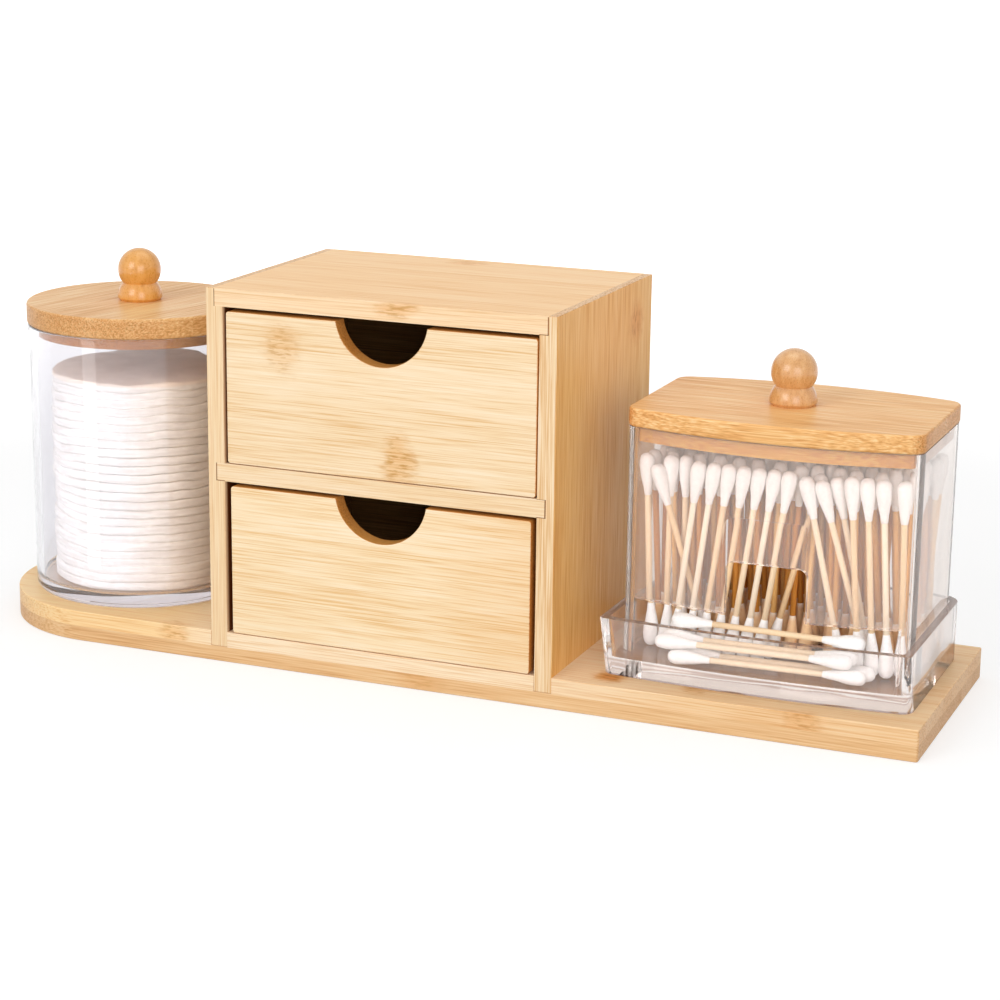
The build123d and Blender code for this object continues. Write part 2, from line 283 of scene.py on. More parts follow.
class Graph:
    """A node tree with short ways to add and join nodes."""

    def __init__(self, tree: bpy.types.NodeTree) -> None:
        """Keeps the tree."""
        self.tree = tree

    def node(self, kind: str, **settings: Any) -> bpy.types.Node:
        """Adds a node and sets its properties.

        Args:
            kind: the node's type name, without the common prefix.
            settings: properties of the node.

        Returns:
            The new node.
        """
        made = self.tree.nodes.new(f"ShaderNode{kind}")
        for key, value in settings.items():
            setattr(made, key, value)
        return made

    def feed(self, socket: Socket, value: Any) -> None:
        """Links a socket into an input, or writes a plain value there.

        Args:
            socket: the input.
            value: a socket, or a plain value.
        """
        if isinstance(value, bpy.types.NodeSocket):
            self.tree.links.new(value, socket)
        else:
            socket.default_value = value

    def math(self, operation: str, a: Value, b: Value = 0.0, clamp: bool = False) -> Socket:
        """One step of arithmetic.

        Args:
            operation: the kind of step.
            a: the first value.
            b: the second value.
            clamp: True keeps the result from 0 to 1.

        Returns:
            The result.
        """
        made = self.node("Math", operation=operation, use_clamp=clamp)
        self.feed(made.inputs[0], a)
        self.feed(made.inputs[1], b)
        return made.outputs[0]

    def vector(self, operation: str, a: Any, b: Any = ORIGIN, out: str = "Vector") -> Socket:
        """One step of vector arithmetic.

        Args:
            operation: the kind of step.
            a: the first vector.
            b: the second vector.
            out: "Vector", or "Value" for a number.

        Returns:
            The result.
        """
        made = self.node("VectorMath", operation=operation)
        self.feed(made.inputs[0], a)
        self.feed(made.inputs[1], b)
        return made.outputs[out]

    def split(self, vector: Socket) -> list[Socket]:
        """Takes a vector apart.

        Args:
            vector: the vector.

        Returns:
            Its X, Y and Z.
        """
        made = self.node("SeparateXYZ")
        self.feed(made.inputs[0], vector)
        return list(made.outputs)

    def join(self, *parts: Value) -> Socket:
        """Puts a vector together.

        Args:
            parts: its X, Y and Z; what is not given is 0.

        Returns:
            The vector.
        """
        made = self.node("CombineXYZ")
        for index, part in enumerate(parts):
            self.feed(made.inputs[index], part)
        return made.outputs[0]

    def span(self, value: Value, low: float, high: float, to: Pair = (0.0, 1.0)) -> Socket:
        """Maps a value smoothly from one span to another.

        Args:
            value: what is mapped.
            low: where the first span starts.
            high: where the first span ends.
            to: the second span.

        Returns:
            The mapped value.
        """
        made = self.node("MapRange", interpolation_type="SMOOTHSTEP")
        for index, item in enumerate((value, low, high, *to)):
            self.feed(made.inputs[index], item)
        return made.outputs[0]

    def noise(
        self, vector: Socket, scale: Value, detail: float = 2.0, rough: float = 0.5
    ) -> Socket:
        """Cloudy noise.

        Args:
            vector: where it is read.
            scale: its features per unit of the vector.
            detail: how many finer layers it has.
            rough: how strong the finer layers are.

        Returns:
            The noise, from 0 to 1.
        """
        made = self.node("TexNoise")
        self.feed(made.inputs["Vector"], vector)
        self.feed(made.inputs["Scale"], scale)
        self.feed(made.inputs["Detail"], detail)
        self.feed(made.inputs["Roughness"], rough)
        return made.outputs[0]

    def streaked(self, vector: Socket, streak: Streak) -> Socket:
        """Noise drawn out along X."""
        per_metre = (streak.along, streak.across, streak.across)
        return self.noise(self.vector("MULTIPLY", vector, per_metre), 1.0, streak.detail)

    def mix(self, share: Value, a: Any, b: Any, blend: str = "MIX") -> Socket:
        """A colour between two, or one laid over the other.

        Args:
            share: how much of the second colour shows.
            a: the first colour.
            b: the second colour.
            blend: how the second is laid over the first.

        Returns:
            The colour.
        """
        made = self.node("Mix", data_type="RGBA", blend_type=blend)
        self.feed(made.inputs[0], share)
        self.feed(made.inputs[6], a)
        self.feed(made.inputs[7], b)
        return made.outputs[2]

    def ramp(self, value: Socket, places: Sequence[float], tones: Sequence[str]) -> Socket:
        """A colour looked up along a ramp.

        Args:
            value: what is looked up.
            places: where each tone stands.
            tones: the written colours.

        Returns:
            The colour.
        """
        made = self.node("ValToRGB")
        points = made.color_ramp.elements
        while len(points) < len(tones):
            points.new(0.5)
        for point, place, tone in zip(points, places, tones):
            point.position = place
            point.color = linear(tone)
        self.feed(made.inputs[0], value)
        return made.outputs[0]

    def bump(self, height: Socket, depth: float, strength: float) -> Socket:
        """A normal from a height.

        Args:
            height: the height, about 0 to 1.
            depth: how deep that is, in metres.
            strength: how much of it shows.

        Returns:
            The normal.
        """
        made = self.node("Bump")
        self.feed(made.inputs["Strength"], strength)
        self.feed(made.inputs["Distance"], depth)
        self.feed(made.inputs["Height"], height)
        return made.outputs["Normal"]

    def place(self) -> Socket:
        """Object coordinates, in metres."""
        return self.node("TexCoord").outputs["Object"]

    def normal(self) -> Socket:
        """The way a face looks, in the piece's own frame."""
        return self.node("TexCoord").outputs["Normal"]

    def facing(self, normal: Socket, way: Any) -> Socket:
        """How far a normal looks a given way, from -1 to 1."""
        return self.vector("DOT_PRODUCT", normal, way, out="Value")


class Group:
    """A shared effect: a node group with named inputs and outputs, built once."""

    def __init__(self, name: str, inputs: dict[str, Any], outputs: dict[str, str]) -> None:
        """Makes the empty group.

        Args:
            name: the effect's name.
            inputs: each input's name and default, a number or a triple.
            outputs: each output's name and socket type.
        """
        self.tree = bpy.data.node_groups.new(name, "ShaderNodeTree")
        for key, default in inputs.items():
            kind = NUMBER if isinstance(default, float) else "NodeSocketVector"
            made = self.tree.interface.new_socket(name=key, in_out="INPUT", socket_type=kind)
            made.default_value = default
        for key, kind in outputs.items():
            self.tree.interface.new_socket(name=key, in_out="OUTPUT", socket_type=kind)
        self.graph = Graph(self.tree)
        self.source = self.tree.nodes.new("NodeGroupInput").outputs
        self.sink = self.tree.nodes.new("NodeGroupOutput").inputs

    def use(self, graph: Graph, **values: Any) -> Any:
        """Places the group in a material.

        Args:
            graph: the material's graph.
            values: inputs by name, with spaces written as low lines.

        Returns:
            The placed node's outputs.
        """
        made = graph.node("Group", node_tree=self.tree)
        for key, value in values.items():
            graph.feed(made.inputs[key.replace("_", " ")], value)
        return made.outputs


class Effects:
    """The shared effects of the organizer's finishes; sizes are metres, waves are per metre."""

    streaks: tuple[Streak, ...] = (
        Streak(34.0, 1900.0, 3.0, 1.2),
        Streak(16.0, 430.0, 2.0, 0.22),
        Streak(5.0, 130.0, 2.0, 0.16),
        Streak(9.0, 30.0, 2.0, 0.2),
    )
    streak_height: float = 0.6
    strip_share: float = 0.12
    strip_slide: float = 3.0
    piece_slide: float = 0.37
    flecks: Streak = Streak(210.0, 1100.0, 3.0)
    fleck_span: Pair = (0.46, 0.66)
    knuckle_waves: Triple = (120.0, 260.0, 260.0)
    knuckle_bend: Triple = (0.009, 0.005, 0.005)
    knuckle_fade: Pair = (0.3, 1.2)
    end_span: Pair = (0.25, 0.8)
    pore_stretch: Triple = (0.25, 1.0, 1.0)
    pore_span: Pair = (0.18, 0.5)
    lump_share: float = 0.7
    fibre_share: float = 0.3
    ridge_waves: Triple = (70.0, 70.0, 780.0)
    shade_span: Pair = (0.3, 0.7)
    mark_waves: Triple = (900.0, 900.0, 120.0)
    mark_span: Pair = (0.6, 0.85)

    def __init__(self) -> None:
        """Builds each effect once."""
        self.fibres = self._fibres()
        self.knuckle = self._knuckle()
        self.tinge = self._tinge()
        self.pores = self._pores()
        self.fluff = self._fluff()
        self.flow = self._flow()

    def _fibres(self) -> Group:
        """Bamboo laid up in strips.

        Returns:
            The effect: a tone from fibres, streaks and whole strips, a height, and flecks.
        """
        group = Group(
            "bamboo_fibres",
            {"Vector": ORIGIN, "Strip": 0.009, "Streaks": 1.0, "Shift": 0.0},
            {"Tone": NUMBER, "Height": NUMBER, "Flecks": NUMBER},
        )
        g, src = group.graph, group.source
        across = g.split(src["Vector"])[1:]
        cells = [g.math("FLOOR", g.math("DIVIDE", part, src["Strip"])) for part in across]
        strip = g.node("TexWhiteNoise", noise_dimensions="3D")
        g.feed(strip.inputs["Vector"], g.join(src["Shift"], *cells))
        own = strip.outputs["Value"]
        along = g.math("MULTIPLY", own, self.strip_slide)
        slide = g.join(along, g.math("MULTIPLY", src["Shift"], self.piece_slide))
        moved = g.vector("ADD", src["Vector"], slide)
        noises = [g.streaked(moved, streak) for streak in self.streaks]
        total: Value = 0.0
        for value, streak in zip(noises, self.streaks):
            part = g.math("MULTIPLY", g.math("SUBTRACT", value, 0.5), streak.share)
            total = g.math("ADD", total, part)
        total = g.math("MULTIPLY", total, src["Streaks"])
        tone = g.math("MULTIPLY", g.math("SUBTRACT", own, 0.5), self.strip_share)
        g.feed(group.sink["Tone"], g.math("ADD", g.math("ADD", total, tone), 0.5, clamp=True))
        coarse = g.math("MULTIPLY", noises[1], self.streak_height)
        g.feed(group.sink["Height"], g.math("ADD", noises[0], coarse))
        flecks = g.streaked(moved, self.flecks)
        g.feed(group.sink["Flecks"], g.span(flecks, *self.fleck_span))
        return group

    def _knuckle(self) -> Group:
        """A soft-edged patch where the cane had a joint.

        Returns:
            The effect: a mask.
        """
        group = Group(
            "bamboo_knuckle",
            {"Vector": ORIGIN, "Middle": ORIGIN, "Half": (1.0, 1.0, 1.0), "Strength": 1.0},
            {"Mask": NUMBER},
        )
        g, src = group.graph, group.source
        wave = g.node("TexNoise")
        g.feed(wave.inputs["Vector"], g.vector("MULTIPLY", src["Vector"], self.knuckle_waves))
        wave.inputs["Scale"].default_value = 1.0
        offset = g.vector("SUBTRACT", wave.outputs["Color"], (0.5, 0.5, 0.5))
        bent = g.vector("ADD", src["Vector"], g.vector("MULTIPLY", offset, self.knuckle_bend))
        away = g.vector("DIVIDE", g.vector("SUBTRACT", bent, src["Middle"]), src["Half"])
        far = g.vector("LENGTH", away, out="Value")
        fade = g.span(far, *self.knuckle_fade, to=(1.0, 0.0))
        g.feed(group.sink["Mask"], g.math("MULTIPLY", fade, src["Strength"]))
        return group

    def _tinge(self) -> Group:
        """A box with soft edges, inside which a piece is darker.

        Returns:
            The effect: a mask.
        """
        group = Group(
            "tinge",
            {"Vector": ORIGIN, "Middle": ORIGIN, "Half": (1.0, 1.0, 1.0), "Soft": 0.0002},
            {"Mask": NUMBER},
        )
        g, src = group.graph, group.source
        away = g.vector("ABSOLUTE", g.vector("SUBTRACT", src["Vector"], src["Middle"]))
        past = g.split(g.vector("SUBTRACT", away, src["Half"]))
        out = g.math("MAXIMUM", g.math("MAXIMUM", past[0], past[1]), past[2])
        share = g.math("MAXIMUM", g.math("DIVIDE", out, src["Soft"]), 0.0)
        g.feed(group.sink["Mask"], g.math("SUBTRACT", 1.0, share, clamp=True))
        return group

    def _pores(self) -> Group:
        """The dots of cut fibre bundles on an end that faces along the grain.

        Returns:
            The effect: the dots, and how far a face is such an end.
        """
        group = Group(
            "end_pores",
            {
                "Vector": ORIGIN,
                "Normal": (0.0, 0.0, 1.0),
                "Along": (1.0, 0.0, 0.0),
                "Spacing": 0.0010,
            },
            {"Dots": NUMBER, "Facing": NUMBER},
        )
        g, src = group.graph, group.source
        turned = g.math("ABSOLUTE", g.facing(src["Normal"], src["Along"]))
        facing = g.span(turned, *self.end_span)
        cells = g.node("TexVoronoi")
        g.feed(cells.inputs["Vector"], g.vector("MULTIPLY", src["Vector"], self.pore_stretch))
        g.feed(cells.inputs["Scale"], g.math("DIVIDE", 1.0, src["Spacing"]))
        dots = g.span(cells.outputs["Distance"], *self.pore_span, to=(1.0, 0.0))
        g.feed(group.sink["Dots"], g.math("MULTIPLY", dots, facing))
        g.feed(group.sink["Facing"], facing)
        return group

    def _fluff(self) -> Group:
        """Cotton: lumps, fine fibres and flat-lying ridges.

        Returns:
            The effect: a height, and a painted shade, darker where the height is low.
        """
        group = Group(
            "cotton_fluff",
            {"Vector": ORIGIN, "Lump": 0.002, "Fibre": 0.0003, "Ridges": 0.0},
            {"Height": NUMBER, "Shade": NUMBER},
        )
        g, src = group.graph, group.source
        spot = src["Vector"]
        lumps = g.noise(spot, g.math("DIVIDE", 1.0, src["Lump"]), detail=3.0, rough=0.6)
        fibres = g.noise(spot, g.math("DIVIDE", 1.0, src["Fibre"]), detail=2.0, rough=0.7)
        lumpy = g.math("MULTIPLY", lumps, self.lump_share)
        fluff = g.math("ADD", lumpy, g.math("MULTIPLY", fibres, self.fibre_share))
        flat = g.vector("MULTIPLY", spot, self.ridge_waves)
        lines = g.noise(flat, 1.0, detail=3.0, rough=0.6)
        ridges = g.math("MULTIPLY", g.math("SUBTRACT", lines, 0.5), src["Ridges"])
        height = g.math("ADD", fluff, ridges)
        g.feed(group.sink["Height"], height)
        g.feed(group.sink["Shade"], g.span(height, *self.shade_span))
        return group

    def _flow(self) -> Group:
        """The slow waviness that moulding leaves in clear plastic.

        Returns:
            The effect: a height, and a few fine marks.
        """
        group = Group(
            "moulding_flow",
            {"Vector": ORIGIN, "Wave": 0.03},
            {"Height": NUMBER, "Marks": NUMBER},
        )
        g, src = group.graph, group.source
        slow = g.math("DIVIDE", 1.0, src["Wave"])
        wave = g.noise(src["Vector"], slow, detail=1.0, rough=0.4)
        drawn = g.vector("MULTIPLY", src["Vector"], self.mark_waves)
        marks = g.noise(drawn, 1.0, detail=2.0, rough=0.6)
        g.feed(group.sink["Height"], wave)
        g.feed(group.sink["Marks"], g.span(marks, *self.mark_span))
        return group


class Finishes:
    """Makes the organizer's materials."""

    def __init__(self, effects: Effects) -> None:
        """Keeps the shared effects."""
        self.effects = effects
        self.marks = BambooMarks()

    @staticmethod
    def _new(name: str) -> tuple[bpy.types.Material, Graph, bpy.types.Node]:
        """Makes a material.

        Args:
            name: its name.

        Returns:
            The material, its graph and its Principled shader.
        """
        material = bpy.data.materials.new(name)
        material.use_nodes = True
        return material, Graph(material.node_tree), material.node_tree.nodes["Principled BSDF"]

    def bamboo(self, look: Bamboo) -> bpy.types.Material:
        """Bamboo laid up in strips.

        Args:
            look: the piece's tones, grain and knuckles.

        Returns:
            The material.
        """
        marks = self.marks
        material, g, shader = self._new(look.name)
        spot = g.place()
        turn = g.node("Mapping")
        turn.inputs["Rotation"].default_value = [math.radians(a) for a in look.grain.value]
        g.feed(turn.inputs["Vector"], spot)
        fibres = self.effects.fibres.use(
            g, Vector=turn.outputs[0], Strip=look.strip * MM, Streaks=look.streaks, Shift=look.shift
        )
        colour = g.ramp(fibres["Tone"], marks.stops, (look.dark, look.mid, look.light))
        for knuckle in look.knuckles:
            mask = self.effects.knuckle.use(
                g,
                Vector=spot,
                Middle=tuple(c * MM for c in knuckle.middle),
                Half=tuple(c * MM for c in knuckle.half),
                Strength=knuckle.strength,
            )["Mask"]
            share = g.math("MULTIPLY", mask, marks.knuckle_share)
            colour = g.mix(share, colour, linear(marks.knuckle), "MULTIPLY")
            flecks = g.math("MULTIPLY", fibres["Flecks"], mask)
            share = g.math("MULTIPLY", flecks, marks.fleck_share)
            colour = g.mix(share, colour, linear(marks.fleck))
        along = Vector((0, 0, 1))
        if look.grain is not Grain.UPRIGHT:
            along = Matrix.Rotation(math.radians(-look.grain.value[2]), 3, "Z") @ Vector((1, 0, 0))
        normal = g.normal()
        ends = self.effects.pores.use(g, Vector=turn.outputs[0], Normal=normal, Along=tuple(along))
        warm = g.math("MULTIPLY", ends["Facing"], marks.end_share * look.end_dots)
        colour = g.mix(warm, colour, linear(look.dark), "MULTIPLY")
        dots = g.math("MULTIPLY", ends["Dots"], marks.dot_share * look.end_dots)
        colour = g.mix(dots, colour, linear(marks.dot))
        colour = self._tinged(g, spot, colour, look.tinges)
        # Painted shade: faces that look the given way are darkened with the tone shade.
        if any(look.painted_shade_way):
            share = g.span(g.facing(normal, look.painted_shade_way), *marks.facing)
            colour = g.mix(share, colour, linear(look.shade), "MULTIPLY")
        # Painted shade: faces that look sideways or up and down, such as edges and the finger
        # notch, are darkened with the tone edge.
        if look.edge:
            flat = g.math("ABSOLUTE", g.facing(normal, (0.0, 1.0, 0.0)))
            share = g.span(flat, *marks.facing, to=(1.0, 0.0))
            colour = g.mix(share, colour, linear(look.edge), "MULTIPLY")
        g.feed(shader.inputs["Base Color"], colour)
        shine = g.math("MULTIPLY", g.math("SUBTRACT", fibres["Tone"], 0.5), marks.shine)
        g.feed(shader.inputs["Roughness"], g.math("ADD", shine, look.roughness))
        g.feed(shader.inputs["Normal"], g.bump(fibres["Height"], marks.depth, marks.relief))
        shader.inputs["Specular IOR Level"].default_value = marks.specular
        return material

    def turned_wood(self, look: TurnedWood) -> bpy.types.Material:
        """Varnished turned wood with a slight figure.

        Args:
            look: its tones, figure, pores and varnish.

        Returns:
            The material.
        """
        material, g, shader = self._new(look.name)
        spot = g.place()
        figure = g.noise(g.vector("MULTIPLY", spot, look.figure), 1.0, detail=3.0, rough=0.6)
        pores = g.noise(g.vector("MULTIPLY", spot, look.pores), 1.0, detail=2.0, rough=0.6)
        tone = g.math(
            "ADD",
            g.math("MULTIPLY", figure, look.figure_share),
            g.math("MULTIPLY", pores, look.pore_share),
        )
        specks = g.math("MULTIPLY", g.span(pores, *look.speck_span), look.specks)
        colour = g.mix(specks, g.ramp(tone, look.stops, look.tones), linear(look.speck))
        g.feed(shader.inputs["Base Color"], colour)
        g.feed(shader.inputs["Roughness"], g.span(pores, *look.span, to=look.roughness))
        g.feed(shader.inputs["Normal"], g.bump(pores, look.depth, look.relief))
        shader.inputs["Coat Weight"].default_value = look.varnish
        shader.inputs["Coat Roughness"].default_value = look.varnish_roughness
        return material

    def acrylic(self, look: Acrylic) -> bpy.types.Material:
        """Clear moulded acrylic that lets the lamps' light through.

        Args:
            look: its tint, clarity and where it is darker.

        Returns:
            The material.
        """
        material, g, shader = self._new(look.name)
        spot = g.place()
        flow = self.effects.flow.use(g, Vector=spot)
        share = g.math("MULTIPLY", flow["Marks"], look.mark_share)
        colour = g.mix(share, linear(look.tint), linear(look.mark))
        g.feed(shader.inputs["Base Color"], self._tinged(g, spot, colour, look.tinges))
        g.feed(shader.inputs["Roughness"], g.span(flow["Marks"], 0.0, 1.0, look.roughness))
        g.feed(shader.inputs["Normal"], g.bump(flow["Height"], look.depth, look.relief))
        shader.inputs["IOR"].default_value = look.index
        shader.inputs["Transmission Weight"].default_value = look.clarity
        clear = g.node("BsdfTransparent")
        clear.inputs["Color"].default_value = linear(look.passing)
        blend = g.node("MixShader")
        g.feed(blend.inputs[0], g.node("LightPath").outputs["Is Shadow Ray"])
        g.feed(blend.inputs[1], shader.outputs[0])
        g.feed(blend.inputs[2], clear.outputs[0])
        g.feed(material.node_tree.nodes["Material Output"].inputs["Surface"], blend.outputs[0])
        return material

    def steel(self, look: Steel) -> bpy.types.Material:
        """Zinc-plated screw steel.

        Args:
            look: its tones and turning marks.

        Returns:
            The material.
        """
        material, g, shader = self._new(look.name)
        marks = g.noise(g.vector("MULTIPLY", g.place(), look.marks), 1.0)
        g.feed(shader.inputs["Base Color"], g.ramp(marks, look.span, look.tones))
        g.feed(shader.inputs["Roughness"], g.span(marks, *look.span, to=look.roughness))
        shader.inputs["Metallic"].default_value = 1.0
        return material

    def _tinged(self, g: Graph, spot: Socket, colour: Socket, tinges: Sequence[Tinge]) -> Socket:
        """Lays darker tones over a colour, each in its own box.

        Args:
            g: the material's graph.
            spot: the place on the piece, in metres.
            colour: the colour below.
            tinges: the boxes and their tones.

        Returns:
            The colour.
        """
        for tinge in tinges:
            mask = self.effects.tinge.use(
                g,
                Vector=spot,
                Middle=tuple(c * MM for c in tinge.middle),
                Half=tuple(c * MM for c in tinge.half),
                Soft=tinge.soft * MM,
            )["Mask"]
            colour = g.mix(mask, colour, linear(tinge.tone), "MULTIPLY")
        return colour

    def cotton(self, look: Cotton) -> bpy.types.Material:
        """White cotton.

        Args:
            look: its tones, lumps, fibres and ridges, and where it is darker.

        Returns:
            The material.
        """
        material, g, shader = self._new(look.name)
        spot = g.place()
        fluff = self.effects.fluff.use(
            g, Vector=spot, Lump=look.lump, Fibre=look.fibre, Ridges=look.ridges
        )
        # Painted shade: the colour turns to the deep tone where the fluff is low.
        colour = g.mix(fluff["Shade"], linear(look.dark), linear(look.light))
        g.feed(shader.inputs["Base Color"], self._tinged(g, spot, colour, look.tinges))
        bump = g.bump(fluff["Height"], look.lump * look.depth_share, look.relief)
        g.feed(shader.inputs["Normal"], bump)
        shader.inputs["Roughness"].default_value = look.roughness
        shader.inputs["Specular IOR Level"].default_value = look.specular
        shader.inputs["Sheen Weight"].default_value = look.sheen
        shader.inputs["Sheen Roughness"].default_value = look.sheen_roughness
        return material

    def stick(self, look: SwabStick) -> bpy.types.Material:
        """The bamboo of the swabs' sticks.

        Args:
            look: its tones and fibres.

        Returns:
            The material.
        """
        material, g, shader = self._new(look.name)
        own = g.node("Attribute", attribute_name="stick_tone").outputs["Fac"]
        fibre = g.noise(g.vector("MULTIPLY", g.place(), look.fibre), 1.0)
        tone = g.math(
            "ADD",
            g.math("MULTIPLY", own, look.own_share),
            g.math("MULTIPLY", fibre, look.fibre_share),
        )
        g.feed(shader.inputs["Base Color"], g.ramp(tone, look.stops, look.tones))
        g.feed(shader.inputs["Roughness"], g.span(fibre, *look.span, to=look.roughness))
        g.feed(shader.inputs["Normal"], g.bump(fibre, look.depth, look.relief))
        return material


def dress(frame: dict[str, Any], node: str, material: bpy.types.Material) -> None:
    """Gives a node of the frame its material.

    Args:
        node: the node's name.
        material: its new material.
    """
    shown = frame["nodes"][node]
    if not shown.material_slots:
        shown.data.materials.append(material)
    for slot in shown.material_slots:
        slot.material = material
    log.info("dressed %s in %s", node, material.name)


def piece_from(bm: bmesh.types.BMesh, name: str, material: bpy.types.Material) -> bpy.types.Object:
    """A finished piece from a bmesh, smooth, at the origin.

    Args:
        bm: the mesh, which is freed.
        name: the piece's name.
        material: its material.

    Returns:
        The new object.
    """
    for face in bm.faces:
        face.smooth = True
    mesh = bpy.data.meshes.new(name)
    bm.to_mesh(mesh)
    bm.free()
    mesh.materials.append(material)
    made = bpy.data.objects.new(name, mesh)
    bpy.context.scene.collection.objects.link(made)
    log.info("built %s: %d faces", name, len(mesh.polygons))
    return made


def tones(light: str, mid: str, dark: str) -> dict[str, str]:
    """A bamboo piece's three tones, by name."""
    return {"light": light, "mid": mid, "dark": dark}


@dataclass
class Cabinet:
    """The board and the two-drawer cabinet on it, dressed in bamboo; places are in mm."""

    # The room behind the drawer fronts, where all faces get a painted shade, as little light
    # reaches them
    room_painted_shade: Tinge = Tinge((-13.5, 1.5, 76.0), (63.9, 51.0, 63.9), "6E4628", 1.5)
    line_depth: float = 1.5
    # The painted shade on the drawer fronts' edges and finger notches
    edge_painted_shade: str = "EFBB78"

    def _joints(self, *lines: tuple[float, float, float, float]) -> tuple[Tinge, ...]:
        """Dark lines where panels meet in front, each by its x, z, half width and half height."""
        depth = self.line_depth
        return tuple(Tinge((x, FRONT, z), (wide, depth, high)) for x, z, wide, high in lines)

    def _fronts(self) -> dict[str, Bamboo]:
        """Writes the looks of the drawer fronts.

        Returns:
            The looks by node.
        """
        return {
            "upper_drawer_front": Bamboo(
                "bamboo_upper_front", Grain.ALONG, **tones("FCE8CA", "F6DAB1", "E3B57A"),
                shift=8.0, edge=self.edge_painted_shade,
                knuckles=(
                    Knuckle((-53.0, FRONT, 126.0), (9.0, 9.0, 11.0), 1.1),
                    Knuckle((-4.5, FRONT, 88.0), (8.5, 9.0, 12.0), 1.7),
                ),
            ),
            "lower_drawer_front": Bamboo(
                "bamboo_lower_front", Grain.ALONG, **tones("FDECCF", "FADFB5", "E9BC80"),
                shift=9.0, edge=self.edge_painted_shade,
                tinges=(Tinge((57.0, FRONT, 45.0), (5.0, 6.0, 40.0), "FBF1E7", 50.0),),
            ),
        }

    def _board(self) -> dict[str, Bamboo]:
        """Writes the looks of the board's two plies.

        Returns:
            The looks by node.
        """
        return {
            "board_upper_ply": Bamboo(
                "bamboo_board_upper", Grain.ALONG, **tones("FEEED3", "FCE3C0", "EABF8C"),
                strip=14.0, shift=1.0,
                knuckles=(
                    Knuckle((77.0, -41.0, 12.0), (7.5, 7.0, 4.0), 2.2),
                    Knuckle((110.0, -41.0, 12.0), (7.0, 6.0, 4.0), 1.6),
                    Knuckle((153.0, FRONT, 9.0), (8.0, 6.0, 6.0), 1.1),
                    Knuckle((-101.0, FRONT, 9.0), (8.0, 8.0, 6.0), 1.2),
                ),
                tinges=(
                    Tinge((160.0, 0.0, 9.0), (50.0, 60.0, 10.0), "F6E5CF", 70.0),
                    Tinge((76.5, -41.5, 12.0), (2.0, 1.5, 2.0), "EFD0A2", 4.0),
                    Tinge((-170.0, 0.0, 9.0), (60.0, 60.0, 10.0), "FFF0D2", 30.0),
                ),
            ),
            "board_lower_ply": Bamboo(
                "bamboo_board_lower", Grain.ALONG, **tones("F3CFA0", "E8BB87", "CC935A"),
                strip=18.0, shift=2.0,
                knuckles=(Knuckle((5.0, FRONT, 3.0), (12.0, 9.0, 5.0), 0.8),),
            ),
        }

    def _shell(self) -> dict[str, Bamboo]:
        """Writes the looks of the cabinet's panels.

        Returns:
            The looks by node.
        """
        pale = tones("FAE4C6", "F4D6AB", "E2B47F")
        return {
            # Its inner face gets the room's painted shade.
            "left_side_panel": Bamboo(
                "bamboo_left_side", Grain.UPRIGHT, **pale, shift=3.0, streaks=0.8, end_dots=1.3,
                tinges=(self.room_painted_shade,),
            ),
            # Painted shade: its outer face, which looks to the right and gets less light, is laid
            # over with a warmer, darker tone; its inner face gets the room's painted shade.
            "right_side_panel": Bamboo(
                "bamboo_right_side", Grain.UPRIGHT, **pale, shift=4.0, strip=11.0, streaks=1.6,
                end_dots=1.3, knuckles=(Knuckle((57.0, 33.0, 131.0), (4.0, 9.0, 9.0), 1.5),),
                tinges=(self.room_painted_shade,), painted_shade_way=(1.0, 0.0, 0.0), shade="FFE1A8",
            ),
            # Painted shade: its top face is laid over with a warmer, darker tone, and its faces
            # inside the cabinet get the room's painted shade.
            "top_panel": Bamboo(
                "bamboo_top", Grain.ALONG, **tones("FDE6C8", "F9D8AE", "E6B780"),
                shift=5.0, streaks=0.8, painted_shade_way=(0.0, 0.0, 1.0), shade="FFF2DC",
                knuckles=(
                    Knuckle((-6.0, FRONT, 144.5), (10.0, 5.0, 4.0), 1.4),
                    Knuckle((-18.0, 43.0, 147.0), (10.0, 6.0, 3.0), 1.2),
                ),
                tinges=(self.room_painted_shade,) + self._joints(
                    (53.85, 143.0, 0.15, 3.6), (52.3, 140.0, 1.8, 0.2), (-80.85, 143.0, 0.1, 3.6),
                ),
            ),
            # The room's painted shade darkens its faces inside the cabinet.
            "middle_shelf": Bamboo(
                "bamboo_shelf", Grain.ALONG, **pale, shift=6.0,
                tinges=(self.room_painted_shade,) + self._joints(
                    (53.8, 76.0, 0.2, 3.4), (52.3, 72.5, 1.8, 0.2), (52.3, 79.5, 1.8, 0.1),
                    (-80.85, 76.0, 0.15, 3.4), (-79.2, 72.5, 1.8, 0.2),
                ),
            ),
            # Painted shade: its inner face, which looks to the front, takes the room's dark tone.
            "back_panel": Bamboo(
                "bamboo_back", Grain.ALONG, **pale, shift=7.0, strip=15.0,
                painted_shade_way=(0.0, -1.0, 0.0), shade=self.room_painted_shade.tone,
            ),
        }

    def _drawers(self) -> dict[str, Bamboo]:
        """Writes the looks of the drawers' sides, backs and bottoms.

        Returns:
            The looks by node.
        """
        # The insides of the drawers are darker than the fronts: a painted shade of the closed
        # cabinet.
        inner_painted_shade = tones("B98C5A", "9E7243", "825932")
        runs = {
            "left_side": Grain.DEEP, "right_side": Grain.DEEP,
            "back": Grain.ALONG, "bottom": Grain.ALONG,
        }
        looks = {}
        for shift, level in ((10.0, "upper"), (11.0, "lower")):
            for part, grain in runs.items():
                name = f"{level}_drawer_{part}"
                looks[name] = Bamboo(f"bamboo_{name}", grain, **inner_painted_shade, shift=shift, strip=12.0)
        return looks

    def build(self, frame: dict[str, Any], finishes: Finishes) -> None:
        """Dresses each bamboo node.

        Args:
            finishes: the materials.
        """
        for looks in (self._board(), self._shell(), self._fronts(), self._drawers()):
            for node, look in looks.items():
                dress(frame, node, finishes.bamboo(look))


